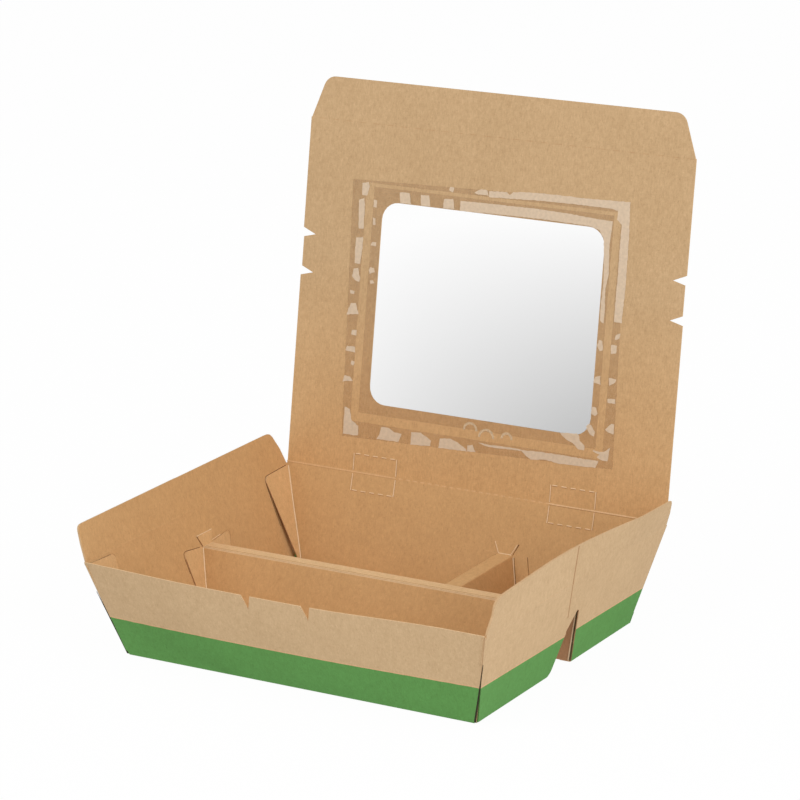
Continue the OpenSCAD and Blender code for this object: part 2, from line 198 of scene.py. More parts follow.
# Tray
# The floor, four leaning walls and two hollow dividers are folded from the sheet and held
# by glued tabs. A green band is printed round the foot of its walls, and runs a little
# lower at the back. The front half of each side wall is two layers thick, up to a seam.
wall_rise = 50.3
walls_out = (13.6, 14.1, 15.8)
side_lean, front_lean, back_lean = (atan(out / wall_rise) for out in walls_out)
side_slope, front_slope, back_slope = (round(out / wall_rise, 4) for out in walls_out)
floor_half, floor_front, floor_back = 100.5, -36.95, 118.05
main_front_slope, main_rear_slope = 0.3403, 0.1468
ridge_level = 31.0
flap_fold_level = 49.8
band_start, band_height = -37 * mm, 20.75 * mm
band_fall = 0.0163
band_bleed = 0.6 * mm
seam_foot = 44.73 * mm
seam_slope, flap_seam_slope = 0.2072, 0.1
seam_middle, seam_reach = -0.4 * mm, 0.5 * mm


def object_place(tree):
    """A point's three Object coordinates."""
    return add(tree, "SeparateXYZ", in0=add(tree, "TexCoord").outputs["Object"]).outputs


def banded(tree):
    """Kraft with the printed band below, a bare line along its top, and painted shade along the
    seam's edge.
    """
    x, y, z = object_place(tree)
    top = maths(tree, "MULTIPLY_ADD", y, -band_fall, band_height + band_start * band_fall)
    rise = maths(tree, "SUBTRACT", z, top)
    bare, printed = (maths(tree, "LESS_THAN", rise, level) for level in (band_bleed, 0.0))
    colour = blend_colours(tree, bare, outside_brown, srgb(214, 170, 130))
    colour = blend_colours(tree, printed, colour, srgb(92, 145, 75))
    seam_turn = seam_foot - (seam_slope + flap_seam_slope) * flap_fold_level * mm
    on_wall = maths(tree, "MULTIPLY_ADD", z, -seam_slope, seam_foot)
    on_flap = maths(tree, "MULTIPLY_ADD", z, flap_seam_slope, seam_turn)
    # Along the seam, a dark brown line paints the shade at the outer layer's edge
    behind = maths(tree, "SUBTRACT", y, maths(tree, "MAXIMUM", on_wall, on_flap))
    edge = maths(tree, "COMPARE", behind, seam_middle, seam_reach)
    for value, least in ((z, 30.5 * mm), (maths(tree, "ABSOLUTE", x), 95 * mm)):
        edge = maths(tree, "MULTIPLY", edge, maths(tree, "GREATER_THAN", value, least))
    return blend_colours(tree, maths(tree, "MULTIPLY", edge, 0.85), colour, srgb(164, 120, 80))


outside = kraft("kraft outside", banded, grain=0.24)
plain_outside = kraft("kraft underside", outside_brown)
# Painted shade: the outer brown made darker for outside faces inside the hollows
shaded_hollow_brown = kraft("kraft painted darker in the hollows", srgb(184, 140, 102))
# Painted shadow: near black for the faces seen through the front corners' slits
painted_slit_shadow = kraft("painted shadow behind the slits", srgb(46, 42, 26))
# Painted shade: a dark brown for strips laid in gaps between boards
painted_gap_shade = kraft("painted shade in the gaps", srgb(92, 78, 52))
# Painted light: the inside kraft made lighter on the glued tabs
painted_lit_tab = kraft("kraft on the glued tabs", srgb(213, 172, 122))
# Painted light: the inside kraft made lighter on the ridge's top
painted_lit_ridge = kraft("kraft on the ridge", srgb(217, 180, 134))


def two_sides(x, y, z, food_side=inside):
    """The normals and finishes of a panel's food side and of the side turned away from it."""
    food = Vector((x, y, z)).normalized()
    return [(food, food_side), (-food, outside)]


def dress(thing, panels, finish_of, finishes=(inside, outside, crease)):
    """Gives each face of a board its finish. `finish_of` chooses it, from the face's normal
    and centre and the finish of the panel that it lies along, or None."""
    thing.data.materials.clear()
    for material in finishes:
        thing.data.materials.append(material)
    for face in thing.data.polygons:
        normal, finish = max(panels, key=lambda panel: face.normal.dot(panel[0]))
        flat = face.normal.dot(normal) > cos(radians(5))
        chosen = finish_of(face.normal, face.center, finish if flat else None)
        face.material_index = finishes.index(chosen)


def tray_finish(normal, centre, finish):
    """Folds keep their side's colour, apart from the main divider's ridge: its folds take the
    pale crease finish and its top a lighter kraft, as painted highlights. The glued tabs are
    painted lighter too, as painted light. Only the outermost faces are printed, and so are the
    cut edges in the slits at the front corners. Other outside faces are painted darker as
    shade: near black behind the slits, and a darker brown in the hollows."""
    x, y, z = abs(centre.x) / mm, centre.y / mm, centre.z / mm
    in_slit, behind_slit = x > 96 and y < -36, x > 95 and y < -24
    on_divider = z > 15 and abs(normal.x) < 0.02
    outermost = (x > 99.6 + side_slope * z or y > 117.2 + back_slope * z
                 or y < -36.1 - front_slope * z)
    from_side = (floor_half + side_slope * z - x) * cos(side_lean)
    on_tab = abs(normal.x) > 0.9 and 1.4 < from_side < 5.5
    on_ridge = normal.z > 0.9 and z > 30
    if finish is None:
        if min(abs(normal.x), abs(normal.y)) > 0.02 or abs(normal.z) < 0.1:
            finish = outside if in_slit else crease
        elif normal.z < 0:
            finish = outside
        else:
            finish = crease if on_divider else inside
    # Outside faces that are not outermost are painted darker, as shade
    if finish == plain_outside:
        return plain_outside if normal.z < -0.9 else shaded_hollow_brown
    if finish == outside and not outermost:
        return painted_slit_shadow if behind_slit else shaded_hollow_brown
    # The tabs and the ridge's top are painted lighter, as light
    if finish == inside and (on_tab or on_ridge):
        return painted_lit_tab if on_tab else painted_lit_ridge
    return finish


# The front wall is bowed, so its normals fan out and it takes several panels
bow = 0.06
tray_panels = [
    (Vector((0, 0, 1)), inside), (Vector((0, 0, -1)), plain_outside),
    *two_sides(-cos(side_lean), 0, sin(side_lean)), *two_sides(cos(side_lean), 0, sin(side_lean)),
    *two_sides(0, -cos(back_lean), sin(back_lean)),
    *[side for x in (-2, -1, 0, 1, 2) for lean in (front_lean, front_lean + 2 * bow)
      for side in two_sides(x * bow, cos(lean), sin(lean))],
    *[(way * Vector(leg), inside if way > 0 else plain_outside) for way in (1, -1)
      for leg in ((0, -0.944, 0.33), (0, 0.99, 0.147), (-0.97, 0, 0.243), (0.97, 0, 0.243))],
]


def merged(node):
    """A CAD node's loose triangles as one joined mesh."""
    mesh = bmesh.new()
    mesh.from_mesh(frame["nodes"][node].data)
    bmesh.ops.remove_doubles(mesh, verts=mesh.verts, dist=0.001 * mm)
    return mesh


def piece(name, mesh, finishes=()):
    """A finished mesh as an object of the scene."""
    data = bpy.data.meshes.new(name)
    mesh.to_mesh(data)
    for finish in finishes:
        data.materials.append(finish)
    thing = bpy.data.objects.new(name, data)
    bpy.context.collection.objects.link(thing)
    return thing


sheet = merged("tray")
tray_board = piece("tray_board", sheet)
dress(tray_board, tray_panels, tray_finish,
      (inside, outside, crease, plain_outside, shaded_hollow_brown, painted_slit_shadow, painted_lit_tab, painted_lit_ridge))

# The front wall bellies out most below its top edge, so its points move along its normal.
# Its top edge also stands a little higher towards both ends, and leans back at the right.
front_foot = Vector((0, floor_front, 0)) * mm
front_out = Vector((0, -cos(front_lean), -sin(front_lean)))
front_up = Vector((0, -sin(front_lean), cos(front_lean)))
front_fold, front_tall = 0.7 * mm, wall_rise * mm / cos(front_lean)
straight_bow, top_bow, belly_bow = 6.4 * mm, 2.4 * mm, 6.7 * mm
raised_right, raised_left, notch_shift = 0.55, 0.4, 1.3 * mm


def up_front(point):
    """How far up the front wall a point is: 0 at its fold, and 1 at its top edge."""
    climbed = (point - front_foot).dot(front_up) - front_fold
    return max(0.0, climbed / (front_tall - front_fold))


def front_bows(point):
    """How far the wall bows at a point: as one straight slope, and as it really is."""
    share = up_front(point)
    across = point.x / (floor_half * mm + side_slope * point.z)
    middle = max(0.0, 1 - across * across)
    return middle * straight_bow * share, middle * share * (top_bow + belly_bow * (1 - share))


def in_front_wall(point):
    """True on both faces of the front wall."""
    inner = front_bows(point)[0] - 0.8 * mm
    return (point - front_foot).dot(front_out) > inner and point.y < -36 * mm


def ramp(value, start, length):
    """0 up to `start`, and from there up to 1 over `length`."""
    return min(1, max(0, value - start) / length)


sheet.clear()
sheet.from_mesh(tray_board.data)
for level in (4, 9, 14, 19, 24, 29, 34, 39, 43, 47):
    wall = [face for face in sheet.faces if all(in_front_wall(vert.co) for vert in face.verts)]
    edges = {edge for face in wall for edge in face.edges}
    verts = {vert for face in wall for vert in face.verts}
    bmesh.ops.bisect_plane(sheet, geom=[*wall, *edges, *verts], plane_co=(0, 0, level * mm),
                           plane_no=(0, 0, 1))
for vert in sheet.verts:
    if in_front_wall(vert.co):
        straight, real = front_bows(vert.co)
        share = up_front(vert.co)
        x = vert.co.x / mm
        to_right = ramp(x, 28, 45) * share * mm
        to_left = ramp(-x, 60, 30) * share * mm
        leant_back = to_right * ramp(-x, -112, 20)
        vert.co += front_out * (real - straight - leant_back)
        vert.co += front_up * (raised_right * to_right + raised_left * to_left)
        vert.co.x -= notch_shift * straight / straight_bow
sheet.to_mesh(tray_board.data)
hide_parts("tray")
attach(tray_board, "tray")


# Along the edges of tabs and dovetails, dark strips paint the shade in the crevice between the
# boards, and pale strips show the fibres where the knife or a fold has torn the board. They are
# thin strips that lie on the tray.
line_finishes = (painted_crevice_shade, torn, painted_faint_shade, painted_slit_shadow, outside, painted_gap_shade, crease)


def strip(mesh, points, normal, width, finish, rise=0.04, sink=0.02, taper=1.0):
    """A thin closed strip along points on a surface; sizes in mm. It ends `taper` as wide."""
    rings = []
    last = len(points) - 1
    for i, point in enumerate(points):
        ahead = points[min(i + 1, last)] - points[max(i - 1, 0)]
        half = width / 2 * mm * (1 + (taper - 1) * i / last)
        side = normal.cross(ahead).normalized() * half
        rings.append([mesh.verts.new(point + side * a + normal * b * mm)
                      for a, b in ((-1, -sink), (1, -sink), (1, rise), (-1, rise))])
    faces = [rings[0], rings[-1]]
    for one, two in zip(rings, rings[1:]):
        faces += [(one[k], one[(k + 1) % 4], two[(k + 1) % 4], two[k]) for k in range(4)]
    for face in faces:
        mesh.faces.new(face).material_index = line_finishes.index(finish)


def on_side(way, y, t, depth):
    """A point on a side wall: along it, up its slope, and in from its outer face; mm."""
    return Vector((way * (floor_half + t * sin(side_lean) - depth * cos(side_lean)), y,
                   t * cos(side_lean) + depth * sin(side_lean))) * mm


def on_back(x, t, depth):
    """A point on the back wall: across it, up its slope, and in from its outer face; mm."""
    return Vector((x, floor_back + t * sin(back_lean) - depth * cos(back_lean),
                   t * cos(back_lean) + depth * sin(back_lean))) * mm


# The dark rows paint the shade along tab and dovetail edges; the torn rows are their pale cut edges
# Each row: finish and width in mm, then the line's points along the side wall and up it
side_lines = (
    (painted_crevice_shade, 0.3, (131.5, 50.6), (112.7, 50.05), (111.2, 49.7), (110.2, 48.8), (109.85, 47.3),
     (110.8, 40), (112, 31), (113.2, 22)),
    (painted_faint_shade, 0.24, (-49.5, 50.55), (-30, 50.15), (-28.4, 49.8), (-27.2, 48.8), (-27.05, 47.2),
     (-28.3, 40)),
    (painted_crevice_shade, 0.3, (41, 32.15), (30, 33.5), (28, 33.55), (26.85, 32.75), (26.55, 31.2),
     (27, 28), (27.9, 22)),
    (painted_faint_shade, 0.2, (54.5, 32.15), (65.5, 33.5), (67.5, 33.55), (68.7, 32.75), (69, 31.2),
     (68, 28), (66.1, 22)),
    (painted_crevice_shade, 0.3, (43.7, 31.6), (40.75, 37.95)),
    (torn, 0.34, (40.9, 38.05), (54.6, 38.05)),
    (torn, 0.4, (54.75, 37.9), (51.9, 32)),
    (torn, 0.3, (52.5, 32.7), (60.5, 33.3)),
)
# The dark rows paint the shade along tab and dovetail edges; the torn rows are their pale cut edges
# Each row: finish, width and depth in mm, then the points across the back wall and up it
back_lines = (
    (painted_crevice_shade, 0.34, 0.5, (28.9, 24), (31.9, 29.9)),
    (torn, 0.34, 1, (28.2, 24.4), (31.1, 29.8)),
    (torn, 0.4, 1, (20.9, 23.9), (18, 29.8)),
    (torn, 0.8, 1, (20.8, 23.9), (28.4, 23.9)),
    (painted_crevice_shade, 0.3, 0.5, (37.5, 24.2), (37.8, 23.4), (39, 18.4), (40.2, 13.4), (42.6, 3.5)),
    (painted_faint_shade, 0.2, 0.5, (11.7, 24.2), (11.4, 23.4), (10.2, 18.4), (9, 13.4), (6.6, 3.5)),
)
# Where the tabs turn off the walls. Each row: the foot's place along the side wall, its slope,
# how far the tab is lifted there, which way it looks, its height, and the places up the wall
tab_folds = (
    (-36.4, -front_slope, 0.8, 1, 50.38, (2.5, 14, 26, 38, 49)),
    (32.75, main_front_slope, 0.6, -1, 31.85, (2.5, 12, 22, 31.2)),
    (56.75, -main_rear_slope, 0.6, 1, 31.85, (2.5, 12, 22, 31.2)),
    (117.4, back_slope, 3.4, -1, 50.38, (2.5, 8, 14, 20, 26, 32, 38, 44, 50)),
)
fold_look = {"width": 0.56, "finish": torn, "rise": 0.25, "sink": 0.3}
back_in = Vector((0, -cos(back_lean), sin(back_lean)))
lines = bmesh.new()
for way in (1, -1):
    inwards = Vector((-way * cos(side_lean), 0, sin(side_lean)))
    for finish, width, *points in side_lines:
        strip(lines, [on_side(way, y, t, 2 * board) for y, t in points], inwards, width, finish)
    for foot, slope, lift, towards, top, places in tab_folds:
        points = [on_side(way, foot + slope * t * cos(side_lean) + 0.12 * sin(1.9 * t), t,
                          1.6 + lift * (1 - t / top)) for t in places]
        strip(lines, points, Vector((-way, towards, 0.3)).normalized(), **fold_look)
    # A near-black strip in each front corner's slit paints its shadow
    slit = [front_foot + (front_up * t + Vector((way * (99.35 + 0.298 * t), 0, 0))) * mm
            for t in (0.9, 9, 18, 27, 36)]
    strip(lines, slit, front_out, 1.15, painted_slit_shadow, taper=0.25)
    # The divider's rear leg ends short of the wall, so its torn edge shows, and a dark strip paints
    # the shade in the gap
    for finish, width, foot, top in ((painted_gap_shade, 1.0, 1.1, 1.95), (torn, 0.7, 1.95, 2.8)):
        leg = []
        for z in (0.8, 10, 20, 30):
            short_by = foot + (top - foot) * z / 30
            leg.append(Vector((way * (floor_half + side_slope * z - short_by),
                               55.93 - main_rear_slope * z, z)) * mm)
        strip(lines, leg, Vector((0, -0.989, -0.145)), width, finish)
    # The back wall's board goes on to the side wall's at the foot of the corner
    strip(lines, [on_back(way * 96.8, 1.15, 0.05), on_back(way * 98.2, 7, 0.05)], back_in,
          7.2, outside, 0.4, 0)
# Along the ridge's front edge a pale strip paints the fold's highlight, and a thin darker one the
# shade beside it
for y, width, finish in ((43.9, 0.6, crease), (45.2, 0.35, painted_faint_shade)):
    strip(lines, [Vector((x, y, ridge_level)) * mm for x in (-107, -50, 0, 50, 107)],
          Vector((0, 0, 1)), width, finish)
for finish, width, depth, *points in back_lines:
    strip(lines, [on_back(x, t, depth) for x, t in points], back_in, width, finish)
short_middle, short_foot, short_slope = 24.6, 10.1, 5.7 / 23.1
for way in (1, -1):
    leg = [(short_middle + way * (short_foot - short_slope * t * cos(back_lean)), t)
           for t in (2.5, 9, 16, 23)]
    strip(lines, [on_back(x + way * 0.25, t, 1.05) for x, t in leg],
          Vector((way, -1, 0.3)).normalized(), 0.5, torn, 0.2, 0.3)
    # A dark strip beside each leg paints the shade along its edge
    strip(lines, [on_back(x + way * 0.85, t, 1.0) for x, t in leg], back_in, 0.3, painted_crevice_shade)
bmesh.ops.recalc_face_normals(lines, faces=lines.faces)
tray_lines = piece("tray_lines", lines, line_finishes)
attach(tray_lines, "tray")


# Side flaps
# A flap stands on each side wall and folds in over the food before the lid closes. It is
# the same sheet as the wall, so a band of board runs round the fold between them.
joints = {joint["name"]: joint for joint in frame["joints"]}
fold_reach = 0.9 * mm


def fold_band(name, joint, low, high, food, ends, depths, finishes):
    """Board that bends round a joint's axis, from the panel `low` of it to the panel `high`
    of it. It stands a hair proud of both, and its two rims dip into them. The finishes are
    for its food side, its far side and its rims."""
    fold = joints[joint]
    axis = Vector(fold["axis"])
    middle = Vector(fold["pos_m"])
    middle -= axis * middle.dot(axis)
    profile = ((-1, -0.08), (-0.8, 0.012), (-0.4, 0.02), (0, 0.02), (0.4, 0.02), (0.8, 0.012),
               (1, -0.08))
    squared = [(food - way * food.dot(way)).normalized() for way in (low, high)]
    food_side, far_side = [], []
    for along, proud in profile:
        out = squared[0].lerp(squared[1], (along + 1) / 2).normalized()
        base = middle + (low if along < 0 else high) * abs(along) * fold_reach
        food_side.append(base + out * (depths[0] + proud) * mm)
        far_side.append(base - out * (depths[1] + proud) * mm)
    ring = food_side + far_side[::-1]
    count, half = len(ring), len(food_side)
    run = Vector([abs(v) for v in axis])
    mesh = bmesh.new()
    start, stop = ([mesh.verts.new(point + run * end * mm) for point in ring] for end in ends)
    for i in range(count):
        j = (i + 1) % count
        face = mesh.faces.new((start[i], start[j], stop[j], stop[i]))
        face.material_index = 0 if i < half - 1 else 1 if half <= i < count - 1 else 2
    for cap in (start[::-1], stop):
        mesh.faces.new(cap).material_index = 2
    bmesh.ops.recalc_face_normals(mesh, faces=mesh.faces)
    thing = piece(name, mesh, finishes)
    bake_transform(thing)


# A flap's outline, along the box and up from the fold, in mm
flap_seam = seam_foot / mm - seam_slope * flap_fold_level
flap_back = [(118.7, 19), (122.2, 18.85), (124.4, 18.1), (126, 16.3), (129.8, 8.9), (132.4, 0.5)]
flap_shapes = {
    "right": [(-49.9, 0.5), (-49.7, 4.5), (-49.1, 7.2), (-48.1, 10.6), (-48.3, 13),
              (-48.7, 16.6), (-48.1, 18.3), (-46.8, 19.4), (-44.5, 19.9), (10, 19.9),
              (46, 19.6), *flap_back],
    "left": [(-49.9, 0.5), (-49.9, 10.2), (-49.3, 16.6), (-48.9, 17.9), (-48.1, 18.9),
             (-46.8, 19.4), (-45, 19.55), *flap_back],
}
# How far it leans out at places along the box, in degrees
straight_up = degrees(side_lean)
flap_leans = {
    "right": ((-50, 15), (-40, 12.5), (-16, 9.6), (10, 6.6), (30, 6.6), (46, 8.8), (68, 14.4),
              (93, 22.0), (125, 24.0), (133, 24.0)),
    "left": ((-50, straight_up), (133, straight_up)),
}


def lean_at(leans, y):
    """How far a flap leans out at a place along it, in radians, evenly between the given
    places."""
    for (y0, a), (y1, b) in zip(leans, leans[1:]):
        if y <= y1:
            share = max(0.0, (y - y0) / (y1 - y0))
            return radians(a + (b - a) * share)
    return radians(leans[-1][1])


def flap_board(way, name):
    """A flap of one layer, and a second layer before the seam, that waves along its length."""
    axis = Vector(joints[f"{name}_flap_fold"]["pos_m"])
    whole = bmesh.new()
    for doubled, depths in ((False, (board / 2, -board / 2)), (True, (1.5 * board, 0.26))):
        flat = bmesh.new()
        flat.faces.new([flat.verts.new((y, s, 0)) for y, s in flap_shapes[name]])
        cuts = [((y, 0, 0), (1, 0, 0), False) for y in range(-46, 131, 4)]
        if doubled:
            cuts.append(((flap_seam, 0, 0), (1, -flap_seam_slope, 0), True))
        for place, normal, trimmed in cuts:
            bmesh.ops.bisect_plane(flat, geom=[*flat.verts, *flat.edges, *flat.faces],
                                   plane_co=place, plane_no=normal, clear_outer=trimmed)
        layers = []
        for depth in depths:
            made = {}
            for vert in flat.verts:
                y, s = vert.co.x, vert.co.y
                lean = lean_at(flap_leans[name], y)
                across = s * sin(lean) + depth * cos(lean)
                up_it = s * cos(lean) - depth * sin(lean)
                made[vert] = whole.verts.new((axis.x + way * across * mm, y * mm,
                                              axis.z + up_it * mm))
            layers.append(made)
        outer, inner = layers
        for face in flat.faces:
            for finish, made in ((1, outer), (0, inner)):
                whole.faces.new([made[vert] for vert in face.verts]).material_index = finish
        for edge in flat.edges:
            if len(edge.link_faces) == 1:
                a, b = edge.verts
                whole.faces.new((outer[a], outer[b], inner[b], inner[a])).material_index = 2
        flat.free()
    bmesh.ops.recalc_face_normals(whole, faces=whole.faces)
    flap = piece(f"{name}_flap_board", whole, (inside, outside, rim))
    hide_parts(f"{name}_side_flap")
    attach(flap, f"{name}_flap")


for way, name in ((1, "right"), (-1, "left")):
    food = Vector((-way * cos(side_lean), 0, sin(side_lean)))
    up_wall = Vector((way * sin(side_lean), 0, cos(side_lean)))
    flap_board(way, name)
    joint = f"{name}_flap_fold"
    fold_band(f"{name}_fold_front", joint, -up_wall, up_wall, food, (-49.85, flap_seam),
              (board / 2, 1.5 * board), (inside, outside, crease))
    fold_band(f"{name}_fold_back", joint, -up_wall, up_wall, food, (flap_seam, 132.2),
              (board / 2, board / 2), (inside, outside, crease))


# Lid and tuck flap
# The lid is the same sheet as the back wall, with the window cut in it. Its tuck flap goes
# down inside the front wall. Two tabs are cut across its hinge, and their knife cuts and
# dashes stand up a little where the blade went through.
hinge = Vector(joints["lid_hinge"]["pos_m"])
tuck_fold = Vector(joints["tuck_fold"]["pos_m"])
lid_up = (tuck_fold - hinge).normalized()
lid_out = Vector((0, -lid_up.z, lid_up.y))
back_up = Vector((0, sin(back_lean), cos(back_lean)))
back_out = Vector((0, -back_up.z, back_up.y))
# The lid's colour near its hinge holds painted bounce light from the tray
lid_low, lid_high = srgb(207, 163, 112), srgb(196, 163, 122)
lid_grain = 0.36
warm_reach = 110 * mm
cut_tabs_at, cut_tab_wide, cut_tab_deep, dash_pitch = (-59, 59), 26.7, 9.9, 5.34
tabs_outer_side = 45.6 * mm


def lid_painted_bounce(tree):
    """The lid is painted warmer near its hinge: painted bounce light from the tray's brown."""
    height = object_place(tree)[2]
    share = maths(tree, "MULTIPLY_ADD", height, 1 / warm_reach, -hinge.z / warm_reach)
    share = maths(tree, "MAXIMUM", maths(tree, "MINIMUM", share, 1.0), 0.0)
    return blend_colours(tree, share, lid_low, lid_high)


def cut_edges(normal, centre, finish):
    """Whatever lies along neither side of a flat panel is its cut edge."""
    return crease if finish is None else finish


lid_inside = kraft("kraft lid inside", lid_painted_bounce, lid_grain)
for node in ("lid_panel", "tuck_flap"):
    dress(frame["nodes"][node], two_sides(*lid_out, lid_inside), cut_edges,
          (lid_inside, outside, crease))


def dashes(tree, x, pitch, share):
    """1 on dashes that run along x and take up a share of their pitch, and 0 between them."""
    step = maths(tree, "FRACT", maths(tree, "DIVIDE", x, pitch * mm))
    return maths(tree, "LESS_THAN", step, share)


def hinge_line_and_shade(tree):
    """The hinge crease is pale from the two tabs outwards, and only dashed between them. The
    left side is half as pale. Under the pale parts a dark line paints the shade below the crease."""
    x, _, z = object_place(tree)
    dash = dashes(tree, x, 4.4, 0.55)
    right_part = maths(tree, "GREATER_THAN", x, tabs_outer_side)
    left_part = maths(tree, "LESS_THAN", x, -tabs_outer_side)
    outer = maths(tree, "MULTIPLY_ADD", left_part, 0.5, right_part)
    pale_share, dashed = maths(tree, "MULTIPLY", outer, 0.95), maths(tree, "MULTIPLY", dash, 0.4)
    shown = maths(tree, "MAXIMUM", pale_share, dashed)
    # The dark line under the pale parts is painted shade
    under = maths(tree, "COMPARE", z, hinge.z - 0.5 * mm, 0.24 * mm)
    under = maths(tree, "MULTIPLY", under, maths(tree, "MULTIPLY", outer, 0.55))
    line = maths(tree, "COMPARE", z, hinge.z + 0.1 * mm, 0.32 * mm)
    colour = blend_colours(tree, under, lid_low, srgb(150, 104, 62))
    return blend_colours(tree, maths(tree, "MULTIPLY", line, shown), colour, srgb(228, 192, 148))


def faint_crease(tree):
    """The tuck flap's crease is not yet bent, and shows only as a few browner dashes."""
    x, _, z = object_place(tree)
    line = maths(tree, "COMPARE", z, tuck_fold.z, 0.2 * mm)
    strength = maths(tree, "MULTIPLY_ADD", dashes(tree, x, 8.3, 0.45), 0.2, 0.05)
    shown = maths(tree, "MULTIPLY", line, strength)
    return blend_colours(tree, shown, lid_high, srgb(172, 118, 68))


for name, joint, below, end, finish in (
        ("hinge_fold", "lid_hinge", back_up, 112.8, kraft("hinge crease", hinge_line_and_shade)),
        ("tuck_crease", "tuck_fold", lid_up, 112.3, kraft("tuck crease", faint_crease, lid_grain))):
    fold_band(name, joint, -below, lid_up, lid_out, (-end, end), (board / 2, board / 2),
              (finish, outside, crease))

cut_tree = bpy.data.node_groups.new("row of raised cuts", "GeometryNodeTree")
cut_inputs = {
    name: cut_tree.interface.new_socket(name, in_out="INPUT",
                                        socket_type="NodeSocket" + kind).identifier
    for name, kind in (("Count", "Int"), ("Pitch", "Float"), ("Length", "Float"),
                       ("Radius", "Float"), ("Finish", "Material"))
}
cut_tree.interface.new_socket("Geometry", in_out="OUTPUT", socket_type="NodeSocketGeometry")


def grow(kind, **values):
    """A geometry node of the tree of cuts, and its first result."""
    return add(cut_tree, kind, "GeometryNode", **values).outputs[0]


def along_x(length):
    """A length as a step along x."""
    return add(cut_tree, "CombineXYZ", X=length).outputs[0]


# The lips stand in a row along x about the middle, one pitch apart
asked = cut_tree.nodes.new("NodeGroupInput").outputs
spread = maths(cut_tree, "MULTIPLY", asked["Count"], asked["Pitch"])
half_pitch = maths(cut_tree, "MULTIPLY", asked["Pitch"], 0.5)
first = maths(cut_tree, "MULTIPLY_ADD", spread, -0.5, half_pitch)
row = grow("MeshLine", Count=asked["Count"], Start_Location=along_x(first),
           Offset=along_x(asked["Pitch"]))
lip = grow("MeshCylinder", Vertices=10, Radius=asked["Radius"], Depth=asked["Length"])
laid = grow("Transform", Geometry=lip, Rotation=(0, pi / 2, 0))
placed = grow("InstanceOnPoints", Points=row, Instance=laid)
coated = grow("SetMaterial", Geometry=grow("RealizeInstances", Geometry=placed),
              Material=asked["Finish"])
cut_tree.links.new(coated, cut_tree.nodes.new("NodeGroupOutput").inputs[0])


def row_of_cuts(count, pitch, length, radius, finish):
    """A plain mesh of one row of lips along x; sizes in mm."""
    maker = bpy.data.objects.new("maker", bpy.data.meshes.new("maker"))
    bpy.context.collection.objects.link(maker)
    nodes = maker.modifiers.new("cuts", "NODES")
    nodes.node_group = cut_tree
    for key, value in (("Count", count), ("Pitch", pitch * mm), ("Length", length * mm),
                       ("Radius", radius * mm), ("Finish", finish)):
        nodes[cut_inputs[key]] = value
    grown = maker.evaluated_get(bpy.context.evaluated_depsgraph_get())
    made = bpy.data.meshes.new_from_object(grown)
    bpy.data.objects.remove(maker)
    return made


def raised_cuts(name, body, up, out):
    """The lips of both tabs' cuts, on the lid's side or on the wall's side of the hinge."""
    whole = bmesh.new()
    x_way = Vector((1, 0, 0))
    rows = []
    for middle in cut_tabs_at:
        rows.append((x_way, (middle, cut_tab_deep - 0.2), 5, dash_pitch, 0.55 * dash_pitch))
        for end in (-1, 1):
            side_cut = (middle + end * (cut_tab_wide / 2 - 0.3), (cut_tab_deep + 0.9) / 2)
            rows.append((up, side_cut, 1, 0, cut_tab_deep - 0.9))
    # The torn lip of a cut, and beside it a darker lip that paints the shade the cut casts
    lips = ((0.0, 0.27, 0.22, torn), (0.42, 0.15, 0.17, painted_faint_shade))
    finishes = (torn, painted_faint_shade)
    for along, (x, s), count, pitch, length in rows:
        turn = Matrix((along, out.cross(along), out)).transposed().to_4x4()
        for beside, radius, rise, finish in lips:
            made = row_of_cuts(count, pitch, length, radius, finish)
            away = x_way * beside if along != x_way else up * (-beside if up.z > 0 else beside)
            place = hinge + (x_way * x + up * s + out * rise + away) * mm
            made.transform(Matrix.Translation(place) @ turn)
            before = len(whole.faces)
            whole.from_mesh(made)
            whole.faces.ensure_lookup_table()
            for face in whole.faces[before:]:
                face.material_index = finishes.index(finish)
    bmesh.ops.recalc_face_normals(whole, faces=whole.faces)
    thing = piece(name, whole, finishes)
    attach(thing, body)


raised_cuts("hinge_cuts_lid", "lid", lid_up, lid_out)
raised_cuts("hinge_cuts_wall", "tray", -back_up, back_out)


# Window film
# A clear film is glued on the inside of the lid by two rings of adhesive. The wet adhesive
# darkens the board, and the clean strip between the rings doesn't.
window_half, window_low, window_high, window_r = 65.7, 37.2, 143.5, 9.5
outer_ring = (-76.0, 73.9, 26.7, 152.4)
inner_ring = (-71.4, 69.8, 31.6, 150.6)
# The window's painted shade: how grey the film looks at its upper left corner, and what is
# added to the right, downwards, and towards its lower right corner
grey_start, grey_across, grey_down, grey_corner = -0.0146, 0.036, 0.097, 0.173
film_lift = 0.02 * mm


def within(tree, value, low, high):
    """1 between two places in mm, and 0 outside them."""
    return maths(tree, "COMPARE", value, (low + high) / 2 * mm, (high - low) / 2 * mm)


